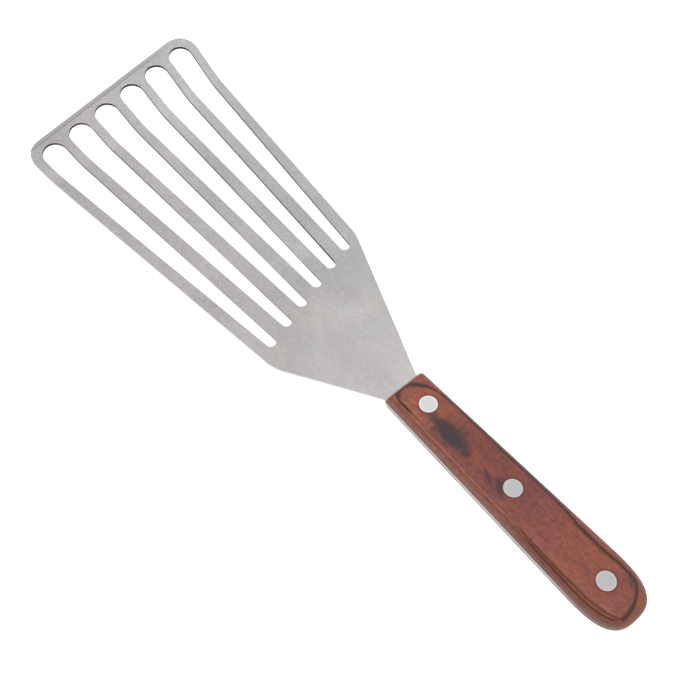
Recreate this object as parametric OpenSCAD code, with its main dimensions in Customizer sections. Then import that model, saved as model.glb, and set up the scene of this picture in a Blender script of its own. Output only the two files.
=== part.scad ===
// Fish spatula: a slotted steel blade with a full tang between two wooden scales,
// held by three two-part rivets that are ground flush with the wood.
// Millimetres. +X points to the front edge, +Y to the side whose shoulder lies nearer the handle.
// The origin is on the table, below the middle of the outline. The spatula rests on the
// flat underside of its handle and on the belly of its blade.

/* [Blade] */
// Thickness of the steel sheet
sheet_t = 1.0; // [0.8:0.1:1.5]
// Distance from the handle to the front edge, on the blade's centre line
blade_reach = 185.5; // [172:0.1:202]
// Width of the front edge between its corners, before they are rounded
front_w = 89.4; // [82:0.2:98]
// How much further the far corner of the front edge reaches than the near one
front_lead = 12.4; // [0:0.1:16]
// Width of the blade across its shoulders
heel_w = 60.3; // [56:0.1:68]
// Distance from the handle to the near shoulder
near_shoulder = 34.8; // [28:0.1:38]
// Distance from the handle to the far shoulder
far_shoulder = 60.7; // [43:0.1:64]
// Width of the neck where it leaves the handle
neck_w = 14.4; // [11:0.2:16]
// Distance of the neck's middle from the handle's centre line
neck_offset = 0.5; // [-1:0.1:1]
// Distance of the blade's centre line from the handle's centre line
blade_offset = -1.3; // [-3:0.1:3]
// Radius of the two front corners
corner_r = 8.4; // [5:0.1:12]
// Radius of the two shoulders
shoulder_r = 17.5; // [8:0.5:24]
// Width of the ground bevel along the front edge
bevel_w = 2.1; // [0.8:0.1:2.5]
// Thickness left at the front edge by the bevel
edge_t = 0.4; // [0.3:0.05:0.7]

/* [Slots] */
// Number of slots
slot_count = 6; // [4:1:6]
// Width of a slot at its front end
slot_front_w = 10; // [8:0.1:10.2]
// Width of a slot at its heel end
slot_heel_w = 3.8; // [3:0.1:5]
// Width of the ribs between the slots' front ends
rib_front_w = 3.9; // [3.5:0.1:5]
// Width of the ribs between the slots' heel ends
rib_heel_w = 5.7; // [5:0.1:7]
// Width of the rim between the slots and the front edge
rim_w = 4.5; // [3:0.1:8]
// Distance of the heel end of the outermost near slot from the near shoulder
slot_setback = 9.0; // [7:0.1:14]
// How much further forward the heel end of the outermost far slot lies
slot_lead = 15.4; // [4:0.1:18]
// Distance of the middle of the slots' heel ends from the blade's centre line
slot_shift = 0.5; // [-1:0.1:1]

/* [Bend] */
// Distance from the handle to where the neck begins to slope down
neck_bend_x = 3.8; // [2.5:0.1:10]
// Radius of the slight bend in the neck
neck_bend_r = 450; // [200:10:600]
// Radius of the upward bend near the front edge
curl_r = 32; // [20:1:90]
// Upward angle of the front edge
curl_angle = 12.4; // [8:0.1:16]
// Length of the straight lip between the curl and the front edge, on the rivets' line
lip_l = 18.9; // [4:0.1:24]

/* [Handle] */
// Length of the handle
handle_l = 105.7; // [100:0.1:128]
// Width of the handle at its front
handle_front_w = 16.9; // [15.4:0.1:19]
// Greatest width of the handle
handle_w = 21.3; // [20:0.1:25]
// Distance from the handle's front to its widest place
widest_x = 88; // [80:0.5:90]
// Distance of the butt's middle from the rivets' line
butt_offset = -0.4; // [-1:0.1:1]
// Squareness of the rounded butt, 2 for an ellipse
butt_power = 2.8; // [2:0.1:3.2]
// Thickness of one scale
scale_t = 5.8; // [5:0.1:8]
// Angle by which the front face of a scale leans back from upright
front_lean = 28; // [10:1:35]
// Thickness of a scale at its front edge
scale_front_t = 4.6; // [4.2:0.1:4.8]
// Length over which a scale thins towards its front edge
scale_ramp = 14; // [8:1:18]
// Width of the rounding along the sides of a scale
side_round_w = 5.5; // [3:0.1:6]
// Height of the flat stretch between the tang and that rounding
side_flat_h = 0.2; // [0.1:0.1:2]
// Length of the rounding at the butt of a scale
butt_round = 6; // [4:0.5:9]

/* [Rivets] */
// Distance from the handle's front to the first rivet
first_rivet = 12.8; // [11:0.1:15]
// Distance between rivets
rivet_pitch = 39.6; // [34:0.2:40]
// Diameter of a rivet head
head_d = 6.35; // [5.5:0.05:7]
// Thickness of a rivet head
head_t = 1.4; // [1:0.1:2]
// Outer diameter of a sleeve
sleeve_d = 4.6; // [4.2:0.1:5]
// Diameter of a stud
stud_d = 3.2; // [2.6:0.1:3.4]
// Length of stud inside its sleeve
stud_grip = 7; // [4:0.5:7.5]
// Room between a rivet and the wood or steel around it
rivet_gap = 0.05; // [0.02:0.01:0.1]
// Room between a stud and its sleeve
stud_gap = 0.02; // [0.01:0.01:0.04]
// Room between the end of a sleeve and the stud's head
sleeve_end_gap = 0.3; // [0.1:0.1:0.5]

/* [Hidden] */

$fn = 96;
steel = [0.74, 0.74, 0.75];
bright_steel = [0.86, 0.86, 0.87];
wood = [0.55, 0.29, 0.22];

// The three rivets are nodes by name, so their number is fixed
rivet_count = 3;
// Half the thickness of the sheet, and of the whole handle
half_t = sheet_t / 2;
half_h = half_t + scale_t;
// Steps along the neck's bend, the curl, the blade's corners and the ends of its slots,
// the butt, a small corner of the handle and the rounding of a scale
neck_steps = 4;
curl_steps = 14;
arc_steps = 14;
butt_steps = 36;
corner_steps = 4;
round_steps = 9;
// Thickness of the slices that a scale is blended through
slice_t = 0.01;
// Radius of the small corners at the handle's front, and depth that cuts run past a face
front_corner_r = 1;
past = 1;

function unit(v) = v / norm(v);
// Points along an arc, with the angles in degrees
function arc(centre, r, from, to, steps) =
    [for (k = [0 : steps]) let (a = from + (to - from) * k / steps) centre + r * [cos(a), sin(a)]];
// Centre of the arc of radius r that rounds corner p between a and b, and points along that arc
function half_angle(a, p, b) = acos(unit(a - p) * unit(b - p)) / 2;
function arc_centre(a, p, b, r) = p + unit(unit(a - p) + unit(b - p)) * r / sin(half_angle(a, p, b));
function rounded(a, p, b, r) =
    let (centre = arc_centre(a, p, b, r),
         run = r / tan(half_angle(a, p, b)),
         from = p + unit(a - p) * run - centre,
         to = p + unit(b - p) * run - centre,
         start = atan2(from[1], from[0]),
         turn = atan2(from[0] * to[1] - from[1] * to[0], from * to))
    arc(centre, r, start, start + turn, arc_steps);

// Corners of the blade's outline, seen from above, with x from the foot of the handle's front
front_slope = front_lead / front_w;
near_neck = [0, neck_offset + neck_w / 2];
near_heel = [near_shoulder, blade_offset + heel_w / 2];
near_front = [blade_reach - front_lead / 2, blade_offset + front_w / 2];
far_front = [blade_reach + front_lead / 2, blade_offset - front_w / 2];
far_heel = [far_shoulder, blade_offset - heel_w / 2];
far_neck = [0, neck_offset - neck_w / 2];
near_front_centre = arc_centre(near_heel, near_front, far_front, corner_r);
far_front_centre = arc_centre(near_front, far_front, far_heel, corner_r);

// Middle of the outline, which lies over the origin
mid_x = (far_front_centre[0] + corner_r - handle_l) / 2;
mid_y = (near_front_centre[1] + far_front_centre[1]) / 2;

// Ends of slot i, counted from the near side
slot_front_pitch = slot_front_w + rib_front_w;
slot_heel_pitch = slot_heel_w + rib_heel_w;
slot_front_r = slot_front_w / 2;
slot_heel_r = slot_heel_w / 2;
function from_middle(i) = (slot_count - 1) / 2 - i;
function slot_front(i) = let (dy = from_middle(i) * slot_front_pitch)
    [blade_reach - front_slope * dy - rim_w - slot_front_r, blade_offset + dy];
function slot_heel(i) = [near_shoulder + slot_setback + slot_lead * i / (slot_count - 1),
                         blade_offset + slot_shift + from_middle(i) * slot_heel_pitch];

// Side view of the sheet's middle plane, with z from the tang: the neck's bend, a straight
// stretch that touches both bends, and the curl, whose underside touches the table.
// The front edge crosses the handle's centre line at edge_x
neck_centre = [neck_bend_x, -neck_bend_r];
edge_x = blade_reach + front_slope * blade_offset;
lip_start_x = edge_x - lip_l * cos(curl_angle);
curl_centre = [lip_start_x - curl_r * sin(curl_angle), curl_r + half_t - half_h];
bend_span = curl_centre - neck_centre;
drop_angle = asin((neck_bend_r + curl_r) / norm(bend_span)) - atan2(bend_span[1], bend_span[0]);
lip_start = curl_centre + curl_r * [sin(curl_angle), -cos(curl_angle)];
// The sheet's side view runs past the outline, which cuts it
cut_lip_l = (far_front[0] + past - lip_start_x) / cos(curl_angle);
sheet_w = front_w + 2 * abs(blade_offset) + 2 * past;

// Bore for a sleeve, and counterbore for a head
bore_r = sleeve_d / 2 + rivet_gap;
head_bore_r = head_d / 2 + rivet_gap;
sleeve_l = 2 * half_h - 2 * head_t - sleeve_end_gap;
function rivet_x(i) = -first_rivet - rivet_pitch * i;

// The sheet seen from the side, on one face of it: side is 1 for the top and -1 for the bottom
function sheet_face(side) = concat(
    [[-handle_l - past, side * half_t]],
    arc(neck_centre, neck_bend_r + side * half_t, 90, 90 - drop_angle, neck_steps),
    arc(curl_centre, curl_r - side * half_t, -90 - drop_angle, curl_angle - 90, curl_steps),
    [lip_start + cut_lip_l * [cos(curl_angle), sin(curl_angle)]
        + side * half_t * [-sin(curl_angle), cos(curl_angle)]]);

module side_view() {
    under = sheet_face(-1);
    polygon(concat(sheet_face(1), [for (k = [len(under) - 1 : -1 : 0]) under[k]]));
}

// Outline of the handle, drawn in by the given amounts at its front, sides and butt.
// It leans sideways by butt_offset from the front to the butt
function handle_outline(front_in, side_in, butt_in) =
    let (front_y = handle_front_w / 2 - side_in,
         wide_y = handle_w / 2 - side_in,
         butt_l = handle_l - widest_x - butt_in,
         r = min(front_corner_r, front_y / 2),
         // the straight side runs to the widest place, so a drawn-in front edge is a little wider
         edge_y = front_y + (wide_y - front_y) * front_in / widest_x)
    [for (p = concat(
        [for (k = [0 : corner_steps]) let (a = 90 * k / corner_steps)
            [-front_in - r + r * cos(a), edge_y - r + r * sin(a)]],
        [for (k = [0 : butt_steps]) let (a = 180 * k / butt_steps, c = cos(a))
            [-widest_x - butt_l * pow(sin(a), 2 / butt_power),
             wide_y * sign(c) * pow(abs(c), 2 / butt_power)]],
        [for (k = [0 : corner_steps]) let (a = 90 * k / corner_steps)
            [-front_in - r + r * sin(a), -edge_y + r - r * cos(a)]]))
     p + [0, -butt_offset * p[0] / handle_l]];

module blade_outline() {
    polygon(concat([far_neck - [past, 0], far_neck],
                   rounded(far_neck, far_heel, far_front, shoulder_r),
                   rounded(far_heel, far_front, near_front, corner_r),
                   rounded(far_front, near_front, near_heel, corner_r),
                   rounded(near_front, near_heel, near_neck, shoulder_r),
                   [near_neck, near_neck - [past, 0]]));
}

// A slot tapers from a wide round end to a narrow one
module slot(i) {
    front = slot_front(i);
    run = slot_heel(i) - front;
    heading = atan2(run[1], run[0]);
    spread = acos((slot_front_r - slot_heel_r) / norm(run));
    polygon(concat(arc(front, slot_front_r, heading + spread, heading + 360 - spread, 2 * arc_steps),
                   arc(slot_heel(i), slot_heel_r, heading - spread, heading + spread, arc_steps)));
}

// The wedge that grinding takes off the top of the front edge
module front_bevel() {
    bevel_angle = atan((sheet_t - edge_t) / bevel_w);
    translate([lip_start[0], 0, lip_start[1]]) rotate([0, -curl_angle, 0])
        translate([lip_l, 0, half_t]) rotate([0, 0, atan(front_slope / cos(curl_angle))])
            translate([-bevel_w, -sheet_w, 0]) rotate([0, bevel_angle, 0])
                cube([bevel_w + 2 * past, 2 * sheet_w, 2 * sheet_t]);
}

// Blade and tang are one piece of sheet
module blade() {
    color(steel) placed() difference() {
        intersection() {
            translate([0, sheet_w / 2, 0]) rotate([90, 0, 0])
                linear_extrude(height = sheet_w) side_view();
            translate([0, 0, -2 * half_h]) linear_extrude(height = 8 * half_h) difference() {
                union() {
                    blade_outline();
                    polygon(handle_outline(0, 0, 0));
                }
                for (i = [0 : slot_count - 1]) slot(i);
            }
        }
        front_bevel();
        for (i = [0 : rivet_count - 1])
            translate([rivet_x(i), 0, -sheet_t]) cylinder(r = bore_r, h = 2 * sheet_t);
    }
}

// Solid form of a scale, lying on z = 0 with its crowned face up
module scale_form() {
    hull() {
        linear_extrude(height = slice_t) polygon(handle_outline(0, 0, 0));
        for (k = [0 : round_steps]) {
            a = 90 * k / round_steps;
            z = side_flat_h + (scale_t - side_flat_h) * sin(a);
            rise = max(0, (z - scale_front_t) / (scale_t - scale_front_t));
            ramp_in = scale_ramp * (1 - sqrt(1 - rise * rise));
            translate([0, 0, z - slice_t]) linear_extrude(height = slice_t)
                polygon(handle_outline(z * tan(front_lean) + ramp_in,
                                       side_round_w * (1 - cos(a)),
                                       butt_round * (1 - cos(a))));
        }
    }
}

module scale() {
    difference() {
        scale_form();
        for (i = [0 : rivet_count - 1]) translate([rivet_x(i), 0, 0]) {
            translate([0, 0, -past]) cylinder(r = bore_r, h = scale_t + 2 * past);
            translate([0, 0, scale_t - head_t]) cylinder(r = head_bore_r, h = head_t + past);
        }
    }
}

module top_scale() {
    color(wood) placed() translate([0, 0, half_t]) scale();
}

module bottom_scale() {
    color(wood) placed() mirror([0, 0, 1]) translate([0, 0, half_t]) scale();
}

// A head is ground to the crown of the scale around it
module head(i) {
    translate([0, 0, half_t]) intersection() {
        translate([rivet_x(i), 0, scale_t - head_t]) cylinder(r = head_d / 2, h = head_t);
        scale_form();
    }
}

module stud(i) {
    color(bright_steel) placed() {
        head(i);
        translate([rivet_x(i), 0, half_h - head_t - sleeve_end_gap - stud_grip])
            cylinder(r = stud_d / 2 - stud_gap, h = stud_grip + sleeve_end_gap + head_t / 2);
    }
}

module sleeve(i) {
    color(bright_steel) placed() difference() {
        union() {
            mirror([0, 0, 1]) head(i);
            translate([rivet_x(i), 0, head_t / 2 - half_h])
                cylinder(r = sleeve_d / 2, h = sleeve_l + head_t / 2);
        }
        translate([rivet_x(i), 0, head_t - half_h])
            cylinder(r = stud_d / 2, h = sleeve_l + past);
    }
}

// Stands the part on the table with the middle of its outline over the origin
module placed() {
    translate([-mid_x, -mid_y, half_h]) children();
}

blade();
top_scale();
bottom_scale();
stud(0);  // front_rivet_stud
sleeve(0);  // front_rivet_sleeve
stud(1);  // middle_rivet_stud
sleeve(1);  // middle_rivet_sleeve
stud(2);  // rear_rivet_stud
sleeve(2);  // rear_rivet_sleeve
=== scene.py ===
import math

import bpy
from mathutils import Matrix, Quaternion, Vector


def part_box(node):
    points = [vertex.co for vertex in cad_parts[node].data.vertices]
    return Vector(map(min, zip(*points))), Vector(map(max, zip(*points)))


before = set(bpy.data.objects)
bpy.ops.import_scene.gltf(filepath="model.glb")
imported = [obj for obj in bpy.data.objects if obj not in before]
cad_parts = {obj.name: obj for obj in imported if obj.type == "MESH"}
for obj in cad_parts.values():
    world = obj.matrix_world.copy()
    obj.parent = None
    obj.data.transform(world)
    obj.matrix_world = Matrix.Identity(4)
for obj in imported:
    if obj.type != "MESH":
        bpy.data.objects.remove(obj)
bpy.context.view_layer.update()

MM = 0.001
WHITE = (1.0, 1.0, 1.0, 1.0)

# Camera: its place, the point on the table that it looks at, its slight roll, and its lens
CAMERA_PLACE = Vector((-0.1546, 0.12215, 0.31335))
CAMERA_AIM = Vector((-0.01118, 0.0027, 0.0))
CAMERA_ROLL = math.radians(-0.621)
LENS_MM = 53.39
SENSOR_MM = 36.0

# Light: even light from all round, two weak lamps, and the white that the camera sees behind
SKY_STRENGTH = 0.62
WHITE_STRENGTH = 1.0
LAMP_SIZE = 0.9

# Floor: half its side, how far it lies under the spatula, its grey, and its glow to the camera
FLOOR_HALF = 3.0
FLOOR_DROP = 0.02 * MM
FLOOR_GREY = 0.8
FLOOR_GLOW = 0.75

# Smooth shading: how close two points are welded, and the angle that stays a sharp edge
WELD_DISTANCE = 0.002 * MM
SHARP_DEGREES = 25

# Zero point of the handle: the middle of its front, on the rivets' line and the tang's middle plane
top_low, top_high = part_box("top_scale")
bottom_low, bottom_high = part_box("bottom_scale")
rivet_low, rivet_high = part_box("front_rivet_stud")
HANDLE_ZERO = Vector((top_high.x, (rivet_low.y + rivet_high.y) / 2, (top_low.z + bottom_high.z) / 2))

# The blade's front edge seen from above: one point on it, and the direction square to it
FRONT_POINT = Vector((185.5, -1.3))
FRONT_NORMAL = Vector((89.4, 12.4)).normalized()

# The six slots seen from above, as in the part's source: their pitch, half width and middle at the
# heel and at the front, and where their ends lie along the blade
HEEL_PITCH, FRONT_PITCH = 9.5, 13.9
HEEL_HALF_WIDTH, FRONT_HALF_WIDTH = 1.9, 5.0
HEEL_MIDDLE, FRONT_MIDDLE = -0.8, -1.3
HEEL_START, HEEL_STEP = 43.8, 3.08
FRONT_END = 176.0

# Where along each slot, from the near one to the far one, the strip of painted shade beside its far edge
# begins. The fifth slot has it all along, and darkest before that place
WALL_SHADE_FROM = (112.0, 105.0, 72.0, 75.0, 60.0, 62.0)
DARKEST_SLOT = 4

# Places of the rivets along the handle
RIVETS = (-12.8, -52.4, -92.0)

# Colours from the butt to the front: of the scales' top, the wood's own tone with the light and shade
# along the handle painted in; of the tang's edge, darkening towards the butt as painted shade; and of
# the rivets and their rims, the rims paler as a painted highlight. Each is a share of the way and
# eight-bit values, typed after colours measured in the photo and changed until the render agreed with it
TOP_COLOURS_AND_LIGHT = [(0.0, (128, 74, 60)), (0.06, (143, 84, 70)), (0.18, (146, 85, 72)), (0.3, (146, 84, 71)),
               (0.38, (135, 80, 71)), (0.46, (128, 76, 71)), (0.58, (128, 75, 69)), (0.72, (131, 76, 67)),
               (0.82, (148, 87, 72)), (0.91, (158, 93, 76)), (0.96, (148, 91, 79)), (1.0, (152, 102, 91))]
TANG_COLOURS = [(0.0, (96, 76, 72)), (0.1, (120, 102, 98)), (0.24, (184, 180, 179)),
                (0.94, (188, 185, 185)), (1.0, (182, 179, 180))]
RIVET_COLOURS = [(0.0, (187, 184, 187)), (0.5, (190, 188, 190)), (1.0, (218, 215, 217))]
RIM_HIGHLIGHT_COLOURS = [(0.0, (201, 195, 197)), (0.5, (198, 194, 196)), (1.0, (242, 235, 236))]

# Colours of the plies in a scale's side from the tang's middle up to this height, near the butt and
# towards the front, set in the same way
PLIES_HEIGHT = 5.4
REAR_PLIES = [(0.0, (112, 84, 80)), (0.17, (104, 72, 66)), (0.24, (116, 82, 76)), (0.39, (128, 86, 78)),
              (0.48, (120, 74, 64)), (0.6, (118, 71, 59)), (0.68, (123, 75, 62)), (0.73, (112, 62, 48)),
              (0.77, (84, 37, 25)), (0.82, (86, 38, 26)), (0.86, (138, 82, 65)), (0.9, (130, 75, 58)),
              (0.94, (100, 49, 35)), (0.97, (128, 78, 64)), (1.0, (148, 92, 78))]
FRONT_PLIES = [(0.0, (128, 98, 94)), (0.17, (130, 97, 92)), (0.3, (128, 90, 84)), (0.4, (138, 92, 85)),
               (0.57, (140, 90, 80)), (0.68, (140, 87, 74)), (0.73, (122, 70, 57)), (0.77, (146, 92, 77)),
               (0.82, (112, 60, 47)), (0.855, (154, 97, 80)), (0.88, (120, 67, 53)),
               (0.905, (190, 128, 105)), (0.93, (116, 62, 50)), (0.955, (146, 91, 76)),
               (0.98, (114, 65, 54)), (1.0, (134, 83, 71))]

# Dark glue lines where the crown of a scale cuts the top ply, placed where the photo has them.
# The first two give y for x, the others x for y
NEAR_LINE = [(-103, 4.4), (-101.8, 5.35), (-100, 6.25), (-97.9, 6.95), (-94.3, 7.6), (-90.7, 8.0),
             (-85, 8.1), (-71, 8.1), (-63, 7.8), (-50, 7.3), (-12, 6.2), (-9.5, 6.2), (-5.6, 6.35)]
FAR_LINE = [(-98.6, -6.3), (-96.6, -7.1), (-94, -7.3), (-91, -7.3), (-88, -6.95), (-81, -6.6),
            (-76, -6.6), (-72, -7.1), (-68, -7.6), (-60, -7.8), (-52, -7.7), (-45, -7.3), (-28, -7.1),
            (-20, -6.9), (-15.6, -6.65), (-12.4, -6.3)]
BUTT_LINE = [(-7.1, -96.9), (-6.7, -98), (-5.6, -99.3), (-3.8, -100.8), (-1.6, -102), (0.5, -102.7),
             (2.7, -103), (4.6, -103)]
FRONT_LINE = [(-6.3, -12.4), (-5.4, -9.9), (-4.1, -7.4), (-2.9, -5.6), (-1.3, -3.5), (0.5, -2.2),
              (2.3, -1.8), (4.5, -2.3), (5.7, -3.6), (6.35, -5.8)]

# Smoky stains in the top scale: middle, half length and half width, turn in radians, and depth of
# colour
SMOKE = [
    ((-26.2, 2.2), 9.5, 4.6, -0.05, 0.6),
    ((-25.8, 2.3), 7.4, 3.7, -0.05, 0.93),
    ((-18.4, 2.1), 4.6, 2.2, 0.0, 0.75),
    ((-31.0, 1.5), 3.6, 2.6, 0.0, 0.5),
    ((-33.9, 3.0), 2.3, 2.0, 0.0, 0.85),
    ((-21.0, 4.3), 2.6, 1.3, 0.7, 0.6),
    ((-29.0, -1.4), 1.5, 2.2, 0.0, 0.5),
    ((-26.6, -1.8), 1.3, 2.2, 0.0, 0.5),
    ((-43.9, 3.0), 3.4, 1.0, -0.4, 0.75),
    ((-48.7, 2.3), 3.6, 1.9, -0.72, 0.75),
    ((-51.0, 4.2), 3.0, 1.3, -0.3, 0.6),
    ((-46.5, 4.2), 3.4, 1.0, -0.4, 0.4),
    ((-25.0, 6.05), 6.0, 0.5, 0.0, 0.5),
    ((-73.2, 6.1), 1.5, 1.5, 0.0, 0.22),
    ((-74.6, -5.8), 2.0, 0.9, 0.0, 0.35),
    ((-5.0, -2.4), 3.0, 1.2, 0.65, 0.6),
    ((-8.6, -4.9), 2.6, 1.0, 0.35, 0.5),
    ((-4.0, 5.2), 2.0, 1.0, -0.6, 0.5),
    ((-97.2, -5.6), 3.0, 1.2, -0.6, 0.6),
]


def linear(red, green, blue):
    """A colour given as the eight-bit values of a picture, for a shader."""
    def one(value):
        share = value / 255
        return share / 12.92 if share <= 0.04045 else ((share + 0.055) / 1.055) ** 2.4
    return (one(red), one(green), one(blue), 1.0)


class Nodes:
    """Builds the node tree of a material or of the world."""

    def __init__(self, owner):
        owner.use_nodes = True
        self.owner = owner
        self.tree = owner.node_tree
        self.tree.nodes.clear()

    def add(self, kind, inputs=(), **settings):
        made = self.tree.nodes.new("ShaderNode" + kind)
        for name, value in settings.items():
            setattr(made, name, value)
        for key, value in dict(inputs).items():
            self.put(made.inputs[key], value)
        return made

    def put(self, socket, value):
        """Links the value to the socket if it comes from another node, or else sets it there."""
        if isinstance(value, bpy.types.NodeSocket):
            self.tree.links.new(value, socket)
        else:
            socket.default_value = value

    def math(self, operation, *values):
        return self.add("Math", enumerate(values), operation=operation).outputs[0]

    def chain(self, operation, first, *others):
        """Any number of values put together by one operation, two at a time."""
        for other in others:
            first = self.math(operation, first, other)
        return first

    def times(self, *values):
        return self.chain("MULTIPLY", *values)

    def plus(self, *values):
        return self.chain("ADD", *values)

    def largest(self, *values):
        return self.chain("MAXIMUM", *values)

    def place(self, scale=(1, 1, 1), turn=0.0, shift=(0, 0, 0)):
        """The point in millimetres from the handle's zero point, moved, turned about Z and scaled."""
        point = self.add("TexCoord").outputs["Object"]
        in_mm = self.add("Mapping", {
            "Vector": point,
            "Scale": (1 / MM, 1 / MM, 1 / MM),
            "Location": tuple(-c / MM - s for c, s in zip(HANDLE_ZERO, shift)),
        }).outputs[0]
        turned = self.add("Mapping", {"Vector": in_mm, "Rotation": (0, 0, -turn)}).outputs[0]
        return self.add("Mapping", {"Vector": turned, "Scale": scale}).outputs[0]

    def axes(self, point):
        return self.add("SeparateXYZ", {"Vector": point}).outputs

    def slanted(self, x, y, per_x, per_y, start=0.0):
        """A value that rises evenly with x and with y."""
        return self.plus(self.times(x, per_x), self.times(y, per_y), start)

    def square_away(self, point):
        """The square of the point's distance from the upright axis through zero."""
        across = self.axes(point)
        return self.plus(self.times(across["X"], across["X"]), self.times(across["Y"], across["Y"]))

    def noise(self, point, detail=3.0, roughness=0.5, distortion=0.0):
        return self.add("TexNoise", {
            "Vector": point, "Scale": 1.0, "Detail": detail,
            "Roughness": roughness, "Distortion": distortion,
        }).outputs["Fac"]

    def between(self, value, low, high, to_low=0.0, to_high=1.0, smooth=True):
        """value taken from the range low to high into the range to_low to to_high."""
        return self.add("MapRange", {
            "Value": value, "From Min": low, "From Max": high, "To Min": to_low, "To Max": to_high,
        }, interpolation_type="SMOOTHSTEP" if smooth else "LINEAR").outputs["Result"]

    def band(self, value, rise, fall):
        """0 outside a band and 1 in it, with a soft change over each of two ranges of value."""
        return self.times(self.between(value, *rise), self.between(value, *fall, 1.0, 0.0))

    def mix(self, share, first, second, blend="MIX"):
        made = self.add("Mix", data_type="RGBA", blend_type=blend, clamp_factor=True)
        self.put(made.inputs["Factor"], share)
        self.put(made.inputs[6], first)
        self.put(made.inputs[7], second)
        return made.outputs[2]

    def ramp(self, value, stops):
        """The colour at value of a row of stops, each a share of the way and eight-bit values."""
        made = self.add("ValToRGB", {"Fac": value})
        band = made.color_ramp
        while len(band.elements) < len(stops):
            band.elements.new(1.0)
        for element, (where, colour) in zip(band.elements, stops):
            element.position = where
            element.color = linear(*colour)
        return made.outputs["Color"]

    def shade(self, colour, noise, depth):
        """The colour made lighter and darker by a noise, by up to about half the depth either way."""
        grey = self.between(noise, 0.25, 0.75, 1 - depth / 2, 1 + depth / 2, smooth=False)
        tone = self.add("CombineColor", {"Red": grey, "Green": grey, "Blue": grey}).outputs[0]
        return self.mix(1.0, colour, tone, blend="MULTIPLY")

    def curve(self, value, points):
        """The height at value of a smooth curve through points, each a place and a height."""
        places, heights = zip(*points)
        low, high = min(heights) - 1, max(heights) + 1
        made = self.add("FloatCurve", {"Value": self.between(value, places[0], places[-1], smooth=False)})
        line = made.mapping.curves[0].points
        while len(line) < len(points):
            line.new(0.5, 0.5)
        for spot, (place, height) in zip(line, points):
            spot.location = ((place - places[0]) / (places[-1] - places[0]), (height - low) / (high - low))
        made.mapping.update()
        return self.between(made.outputs[0], 0.0, 1.0, low, high, smooth=False)

    def line(self, value, along, points, core, reach):
        """1 within core of a curve, falling to 0 at reach, and 0 beyond the curve's ends."""
        off = self.math("ABSOLUTE", self.math("SUBTRACT", value, self.curve(along, points)))
        first, last = points[0][0], points[-1][0]
        fade = 0.6
        ends = self.band(along, (first - fade, first), (last, last + fade))
        return self.times(self.between(off, core, reach, 1.0, 0.0), ends)

    def from_rivet(self, rivet):
        """The distance from the axis of a rivet."""
        return self.math("SQRT", self.square_away(self.place(shift=(rivet, 0, 0))))

    def seen(self):
        """1 for a ray that the camera sees, also in a mirror or through glass, and 0 for other light."""
        rays = self.add("LightPath").outputs
        return self.largest(rays["Is Camera Ray"], rays["Is Glossy Ray"], rays["Is Transmission Ray"])

    def bump(self, height, distance, strength):
        return self.add("Bump", {
            "Height": height, "Distance": distance, "Strength": strength}).outputs["Normal"]

    def surface(self, shader, output="OutputMaterial"):
        """Ends the tree in a shader."""
        self.put(self.add(output).inputs["Surface"], shader)

    def principled(self, **sockets):
        """Ends the tree in a Principled shader, with an underscore for each blank in a socket's name."""
        shader = self.add("BsdfPrincipled", {k.replace("_", " "): v for k, v in sockets.items()})
        self.surface(shader.outputs[0])
        return self.owner


def sheet_face(n, x, y, cloud, fine, brushing, scratches):
    """The colour of the sheet's broad faces: paler at the neck, paler on the curl and along its bend as
    painted highlights, streaky on the heel.
    """
    tint = n.noise(n.place((0.05, 0.045, 0.05), shift=(60, 20, 0)), detail=2.0)
    face = n.mix(n.between(y, -40.0, 40.0), linear(180, 179, 182), linear(181, 177, 177))
    face = n.mix(n.between(tint, 0.35, 0.65, 0.0, 0.3), face, linear(187, 181, 177))
    face = n.mix(n.between(tint, 0.5, 0.3, 0.0, 0.3), face, linear(177, 177, 184))
    face = n.mix(n.between(x, 0.0, 52.0, 0.75, 0.0, smooth=False), face, linear(200, 196, 196))
    # Painted highlight: the curl is made paler, more on the far side.
    on_curl = n.times(n.between(x, 135.0, 162.0), n.between(y, -50.0, 25.0, 0.65, 0.1))
    face = n.mix(on_curl, face, linear(198, 196, 197))
    near_rim = n.times(n.between(x, 100.0, 135.0), n.between(y, 10.0, 34.0, 0.0, 0.7))
    face = n.mix(near_rim, face, linear(175, 172, 173))

    heel = n.between(x, 45.0, 65.0, 1.0, 0.0)
    streaks = n.noise(n.place((0.05, 0.16, 0.16), turn=-0.45, shift=(5, 0, 0)), distortion=0.8)
    streaky = n.times(n.between(streaks, 0.5, 0.66, 0.0, 0.5), heel)
    face = n.mix(streaky, face, linear(195, 188, 182))
    face = n.shade(face, cloud, 0.2)
    grain = n.noise(n.place((1.2, 2.2, 2.2), turn=0.05), roughness=0.6)
    smoother = n.shade(face, fine, 0.2)
    face = n.mix(heel, n.shade(smoother, grain, 0.5), smoother)
    face = n.shade(face, brushing, 0.12)
    face = n.mix(n.between(scratches, 0.68, 0.78, 0.0, 0.3), face, linear(197, 196, 197))
    # Painted highlight: glints along the bend of the curl.
    bend = n.band(x, (157.0, 161.0), (164.0, 170.0))
    glint = n.times(bend, n.between(cloud, 0.4, 0.6, 0.0, 0.35))
    return n.mix(glint, face, linear(206, 202, 203))


def ground_and_shaded_front(n, face, y, to_front):
    """The face with a darker strip along the front edge, partly the ground bevel's own tone and partly
    painted shade of its tilt, and a painted shade line behind it at the bevel's crease.
    """
    along = n.between(y, -40.0, -15.0)
    # The ground strip: partly its own tone, partly painted shade.
    ground = n.times(n.between(to_front, 1.9, 2.2, 1.0, 0.0), along, 0.6)
    face = n.mix(ground, face, linear(170, 168, 171))
    # Painted shade along the crease.
    crease = n.times(n.band(to_front, (1.6, 2.0), (2.2, 2.6)), along, 0.7)
    return n.mix(crease, face, linear(136, 134, 137))


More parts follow.
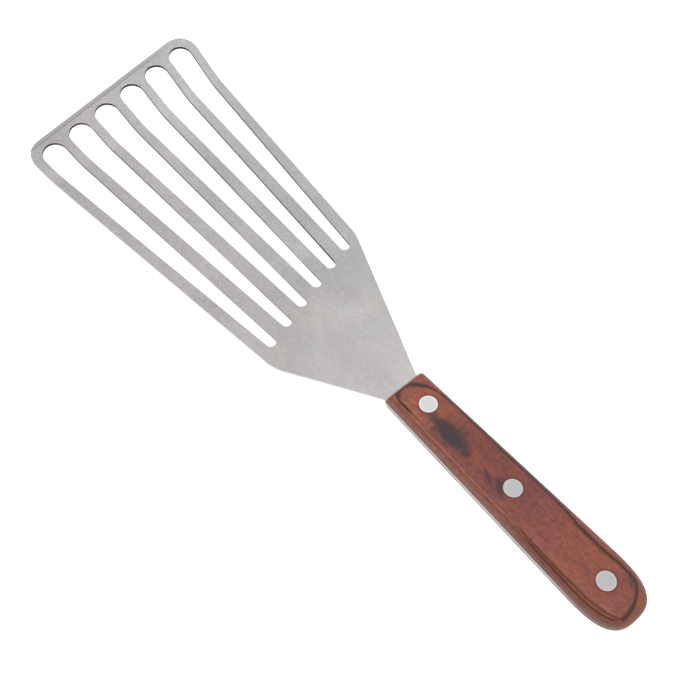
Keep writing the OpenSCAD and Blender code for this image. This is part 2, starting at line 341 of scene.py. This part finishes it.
def far_wall_shade(n, face, x, y):
    """The face with a narrow dark strip of painted shade beside each slot's far wall, where the punch bent
    it down.
    """
    slots = len(WALL_SHADE_FROM)
    for slot, shade_start in enumerate(WALL_SHADE_FROM):
        pitches = (slots - 1) / 2 - slot
        lead = -FRONT_NORMAL.y / FRONT_NORMAL.x * FRONT_PITCH * pitches
        heel_end = Vector((HEEL_START + HEEL_STEP * slot, HEEL_MIDDLE + HEEL_PITCH * pitches))
        front_end = Vector((FRONT_END + lead, FRONT_MIDDLE + FRONT_PITCH * pitches))
        run = front_end - heel_end
        widen = run.length / run.x
        slope = (run.y - (FRONT_HALF_WIDTH - HEEL_HALF_WIDTH) * widen) / run.x
        start = heel_end.y - HEEL_HALF_WIDTH * widen - slope * heel_end.x
        strip = n.band(n.slanted(x, y, slope, -1.0, start), (-0.1, -0.05), (0.1, 0.3))
        ends = n.band(x, (heel_end.x - 0.5, heel_end.x + 0.5), (front_end.x - 2.0, front_end.x))
        before = 1.0 if slot == DARKEST_SLOT else 0.0
        depth = n.between(x, shade_start, shade_start + 30.0, before, 0.5)
        # Painted shade beside the slot's far wall.
        face = n.mix(n.times(strip, ends, depth), face, linear(60, 57, 59))
    return face


def cut_walls(n, x, y, cloud, to_front):
    """The colour of the sheet's cut edges: dark in the slots as painted shade over duller cut steel,
    bright outside, brown at the butt as painted shade.
    """
    past_heel = n.slanted(x, y, 1.0, 0.3242)
    in_near_rim = n.slanted(x, y, 0.1007, -1.0, 23.0)
    in_far_rim = n.slanted(x, y, 0.1111, 1.0, 22.5)
    in_slots = n.times(n.between(past_heel, 48.0, 48.8), n.between(to_front, 4.0, 4.4),
                       n.between(in_near_rim, 0.0, 0.5), n.between(in_far_rim, 0.0, 0.5))
    # Painted shade: the slot walls are near black on the far side and dark on the near side, over steel
    # that is a little duller where cut.
    slots = n.mix(n.between(y, -12.0, 10.0), linear(12, 10, 11), linear(64, 54, 54))
    pale = n.times(n.between(x, 78.0, 118.0, 1.0, 0.0), n.between(y, -12.0, -4.0),
                   n.between(cloud, 0.35, 0.6, 0.45, 0.9))
    slots = n.mix(pale, slots, linear(160, 155, 155))
    # Painted shade: the tang's edge darkens to brown towards the butt.
    outside = n.ramp(n.between(x, -105.0, 5.0, smooth=False), TANG_COLOURS)
    return n.mix(in_slots, outside, slots)


def blade_steel():
    """Satin stainless sheet, faintly clouded, with fine scratches, a ground front and cut edges, with
    painted highlights on the curl and painted shade along the front and in and beside the slots.
    """
    n = Nodes(bpy.data.materials.new("blade_steel"))
    x, y = n.axes(n.place())[:2]
    cloud = n.noise(n.place((0.04, 0.05, 0.05)), detail=2.0)
    fine = n.noise(n.place((0.8, 0.9, 0.9)), detail=4.0, roughness=0.65)
    brushing = n.noise(n.place((0.1, 4.0, 4.0), turn=0.05), roughness=0.6)
    scratches = n.noise(n.place((0.15, 7.0, 7.0), turn=-0.9), detail=2.0)
    front_place = FRONT_NORMAL.dot(FRONT_POINT)
    to_front = n.slanted(x, y, -FRONT_NORMAL.x, -FRONT_NORMAL.y, front_place)

    face = sheet_face(n, x, y, cloud, fine, brushing, scratches)
    face = ground_and_shaded_front(n, face, y, to_front)
    face = far_wall_shade(n, face, x, y)
    up = n.axes(n.add("NewGeometry").outputs["Normal"])["Z"]
    upright = n.between(n.math("ABSOLUTE", up), 0.35, 0.6, 1.0, 0.0)
    return n.principled(
        Base_Color=n.mix(upright, face, cut_walls(n, x, y, cloud, to_front)), Metallic=1.0,
        Roughness=n.between(fine, 0.3, 0.7, 0.32, 0.42),
        Normal=n.bump(n.plus(brushing, n.times(scratches, 0.5)), 0.01 * MM, 0.4))


def rivet_steel():
    """Rivet heads ground flush with the wood, with a paler rim as a painted highlight; the front one is
    the brightest.
    """
    n = Nodes(bpy.data.materials.new("rivet_steel"))
    x = n.axes(n.place())["X"]
    grinding = n.noise(n.place((0.6, 3.0, 3.0), turn=0.7))
    forward = n.between(x, min(RIVETS), max(RIVETS), smooth=False)
    colour = n.ramp(forward, RIVET_COLOURS)
    # Painted highlight: the paler colour of the rims.
    paler = n.ramp(forward, RIM_HIGHLIGHT_COLOURS)
    for rivet in RIVETS:
        rim = n.band(n.from_rivet(rivet), (2.4, 3.0), (4.0, 5.0))
        colour = n.mix(n.times(rim, 0.8), colour, paler)
    return n.principled(
        Base_Color=n.shade(colour, grinding, 0.05), Metallic=1.0, Roughness=0.38,
        Normal=n.bump(grinding, 0.01 * MM, 0.2))


def wood_top(n, x):
    """The colour of a scale's top along the handle, its own tone with painted light and shade, and redder
    and greyer patches.
    """
    top = n.ramp(n.between(x, -105.5, 0.0, smooth=False), TOP_COLOURS_AND_LIGHT)
    point = n.place((0.12, 0.22, 0.22), shift=(7, 3, 0))
    patches = n.noise(point, roughness=0.55, distortion=0.5)
    top = n.mix(n.between(patches, 0.5, 0.7, 0.0, 0.35), top, linear(160, 86, 60))
    return n.mix(n.between(patches, 0.48, 0.32, 0.0, 0.4), top, linear(120, 70, 70))


def ply_sides(n, top, x, y, z):
    """The top's colour, with the plies in bands where the sides round off."""
    drift = n.noise(n.place((0.08, 0.1, 0.1)))
    height = n.plus(n.math("ABSOLUTE", z), n.between(drift, 0.3, 0.7, -0.1, 0.1, smooth=False))
    up_plies = n.between(height, 0.0, PLIES_HEIGHT, smooth=False)
    side = n.mix(n.between(x, -72.0, -55.0), n.ramp(up_plies, REAR_PLIES), n.ramp(up_plies, FRONT_PLIES))
    flecks = n.noise(n.place((0.35, 2.0, 4.5)), roughness=0.6)
    near_or_far = n.largest(n.between(y, 5.2, 6.6), n.between(y, -5.2, -6.6, 0.0, 0.3))
    in_side = n.times(near_or_far, n.between(height, PLIES_HEIGHT - 0.15, PLIES_HEIGHT, 1.0, 0.0))
    return n.mix(in_side, top, n.shade(side, flecks, 0.6))


def glue_lines(n, colour, x, y):
    """The colour with the dark glue lines, which waver a little."""
    waver = n.between(n.noise(n.place((0.4, 0.4, 0.4)), detail=2.0), 0.3, 0.7, -0.16, 0.16, smooth=False)
    wavy_x, wavy_y = n.plus(x, waver), n.plus(y, waver)
    near = n.line(wavy_y, x, NEAR_LINE, 0.1, 0.45)
    near = n.times(near, n.largest(n.between(x, -60.0, -66.0), n.between(x, -13.0, -10.0)))
    near_colour = n.mix(n.between(x, -16.0, -12.0), linear(84, 42, 32), linear(44, 22, 18))
    colour = n.mix(n.times(near, n.between(x, -16.0, -12.0, 0.75, 1.0)), colour, near_colour)
    far = n.line(wavy_y, x, FAR_LINE, 0.15, 1.15)
    butt = n.line(wavy_x, y, BUTT_LINE, 0.15, 1.1)
    butt = n.times(butt, n.between(x, -90.0, -96.0))
    arch = n.line(wavy_x, y, FRONT_LINE, 0.1, 2.4)
    arch = n.times(arch, n.between(x, -16.0, -13.0), 0.9)
    return n.mix(n.times(n.largest(far, butt, arch), 0.88), colour, linear(62, 38, 36))


def smoke(n, colour, z):
    """The colour with the smoky stains of the top scale, ragged at their rims."""
    ragged = n.noise(n.place((0.35, 0.9, 0.9), turn=-0.5), detail=4.0, roughness=0.6)
    ragged = n.between(ragged, 0.3, 0.7, -0.22, 0.22, smooth=False)
    in_top_scale = n.between(z, 0.0, 2.0)
    for middle, half_length, half_width, turn, depth in SMOKE:
        point = n.place((1 / half_length, 1 / half_width, 1), turn=turn, shift=(*middle, 0))
        stain = n.between(n.plus(n.square_away(point), ragged), 0.0, 1.1, depth, 0.0)
        colour = n.mix(n.times(stain, in_top_scale), colour, linear(66, 58, 60))
    return colour


def painted_edge_light(n, colour, x, z):
    """The colour with a painted pale glow in a patchy strip just below the tang, and a pale foot at the
    scales' front as a painted highlight.
    """
    # Painted light: a patchy pale glow on the bottom scale just below the tang, near the butt.
    painted_glow = n.noise(n.place((0.07, 0.07, 0.07), shift=(11, 0, 0)), detail=2.0)
    painted_glow = n.times(n.between(painted_glow, 0.4, 0.6, 0.5, 1.0), n.between(x, -97.0, -82.0))
    below_tang = n.times(n.between(z, -0.4, -0.5), n.between(z, -2.6, -1.0, 0.0, 0.7))
    colour = n.mix(n.times(painted_glow, below_tang), colour, linear(206, 186, 180))
    # Painted highlight on the foot of the scales' front.
    foot = n.between(x, -1.6, -0.4, 0.0, 0.85)
    return n.mix(foot, colour, linear(240, 222, 216))


def scale_wood():
    """Reddish laminated wood: thin plies along the tang, dark glue lines, smoky stains and fine grain."""
    n = Nodes(bpy.data.materials.new("scale_wood"))
    x, y, z = n.axes(n.place())[:3]
    mottle = n.noise(n.place((0.55, 0.8, 0.8)), roughness=0.6)
    grain = n.noise(n.place((0.25, 3.2, 3.2)), roughness=0.6, distortion=0.3)
    speckle = n.noise(n.place((1.0, 3.2, 3.2), turn=0.12), detail=2.0, roughness=0.6)
    colour = ply_sides(n, wood_top(n, x), x, y, z)
    for noise, depth in ((mottle, 0.4), (grain, 0.55), (speckle, 0.5)):
        colour = n.shade(colour, noise, depth)
    colour = glue_lines(n, colour, x, y)
    colour = smoke(n, colour, z)
    for rivet in RIVETS:
        around = n.between(n.from_rivet(rivet), 3.3, 4.2, 0.5, 0.0)
        colour = n.mix(around, colour, linear(84, 54, 50))
    return n.principled(
        Base_Color=painted_edge_light(n, colour, x, z),
        Roughness=n.between(grain, 0.3, 0.7, 0.46, 0.56), Specular_IOR_Level=0.25,
        Normal=n.bump(n.plus(grain, n.times(speckle, 0.6)), 0.03 * MM, 0.5))


def smooth_by_angle(piece):
    """Welds the piece and shades it smooth, apart from edges where it turns by more than SHARP_DEGREES."""
    group = bpy.data.node_groups.new("smooth_" + piece.name, "GeometryNodeTree")
    group.interface.new_socket("Geometry", in_out="INPUT", socket_type="NodeSocketGeometry")
    group.interface.new_socket("Geometry", in_out="OUTPUT", socket_type="NodeSocketGeometry")
    nodes, links = group.nodes, group.links
    start, end = nodes.new("NodeGroupInput"), nodes.new("NodeGroupOutput")
    weld = nodes.new("GeometryNodeMergeByDistance")
    weld.inputs["Distance"].default_value = WELD_DISTANCE
    faces = nodes.new("GeometryNodeSetShadeSmooth")
    edges = nodes.new("GeometryNodeSetShadeSmooth")
    edges.domain = "EDGE"
    angle = nodes.new("GeometryNodeInputMeshEdgeAngle")
    flat = nodes.new("FunctionNodeCompare")
    flat.operation = "LESS_EQUAL"
    flat.inputs["B"].default_value = math.radians(SHARP_DEGREES)
    links.new(angle.outputs["Unsigned Angle"], flat.inputs["A"])
    links.new(start.outputs[0], weld.inputs["Geometry"])
    links.new(weld.outputs[0], faces.inputs["Geometry"])
    links.new(faces.outputs[0], edges.inputs["Geometry"])
    links.new(flat.outputs[0], edges.inputs["Shade Smooth"])
    links.new(edges.outputs[0], end.inputs[0])
    piece.modifiers.new("smooth", "NODES").node_group = group


def dress(material, *names):
    """Gives the named nodes a material and smooth shading."""
    for name in names:
        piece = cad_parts[name]
        piece.data.materials.clear()
        piece.data.materials.append(material)
        if "custom_normal" in piece.data.attributes:
            piece.data.attributes.remove(piece.data.attributes["custom_normal"])
        smooth_by_angle(piece)


def floor():
    """A floor just under the spatula, white to the camera apart from the shadow."""
    half = FLOOR_HALF
    mesh = bpy.data.meshes.new("floor")
    corners = [(-half, -half, 0), (half, -half, 0), (half, half, 0), (-half, half, 0)]
    mesh.from_pydata(corners, [], [(0, 1, 2, 3)])
    piece = bpy.data.objects.new("floor", mesh)
    piece.location.z = -FLOOR_DROP
    bpy.context.scene.collection.objects.link(piece)
    n = Nodes(bpy.data.materials.new("floor_paint"))
    lit = n.add("BsdfDiffuse", {"Color": (FLOOR_GREY, FLOOR_GREY, FLOOR_GREY, 1)}).outputs[0]
    glow = n.add("Emission", {"Color": WHITE, "Strength": FLOOR_GLOW}).outputs[0]
    dark = n.add("Emission", {"Strength": 0.0}).outputs[0]
    lift = n.add("MixShader", {0: n.seen(), 1: dark, 2: glow}).outputs[0]
    n.surface(n.add("AddShader", {0: lit, 1: lift}).outputs[0])
    mesh.materials.append(n.owner)


def softbox(name, place, watts):
    """A square area lamp at place that faces the spatula's middle."""
    lamp = bpy.data.lights.new(name, "AREA")
    lamp.shape = "SQUARE"
    lamp.size = LAMP_SIZE
    lamp.energy = watts
    piece = bpy.data.objects.new(name, lamp)
    piece.location = place
    piece.rotation_euler = (-place).to_track_quat("-Z", "Y").to_euler()
    bpy.context.scene.collection.objects.link(piece)


def studio():
    """Soft light from all round, a little stronger from above, with a white background."""
    world = bpy.data.worlds.new("studio")
    bpy.context.scene.world = world
    n = Nodes(world)
    sky = n.add("Background", {"Color": WHITE, "Strength": SKY_STRENGTH}).outputs[0]
    behind = n.add("Background", {"Color": WHITE, "Strength": WHITE_STRENGTH}).outputs[0]
    either = n.add("MixShader", {0: n.seen(), 1: sky, 2: behind}).outputs[0]
    n.surface(either, "OutputWorld")
    softbox("key", Vector((-0.25, 0.75, 1.05)), watts=5.0)
    softbox("fill", Vector((-0.8, -0.3, 0.8)), watts=2.0)


def camera():
    """The photograph's viewing angle."""
    lens = bpy.data.cameras.new("camera")
    lens.lens = LENS_MM
    lens.sensor_width = SENSOR_MM
    lens.clip_start = 0.01
    lens.clip_end = 20.0
    piece = bpy.data.objects.new("camera", lens)
    piece.location = CAMERA_PLACE
    level = (CAMERA_AIM - CAMERA_PLACE).to_track_quat("-Z", "Y")
    piece.rotation_euler = (level @ Quaternion((0, 0, 1), CAMERA_ROLL)).to_euler()
    bpy.context.scene.collection.objects.link(piece)
    bpy.context.scene.camera = piece


camera()
studio()
floor()
bpy.context.scene.view_settings.view_transform = "Standard"

rivets = [f"{place}_rivet_{half}" for place in ("front", "middle", "rear") for half in ("stud", "sleeve")]
dress(blade_steel(), "blade")
dress(scale_wood(), "top_scale", "bottom_scale")
dress(rivet_steel(), *rivets)
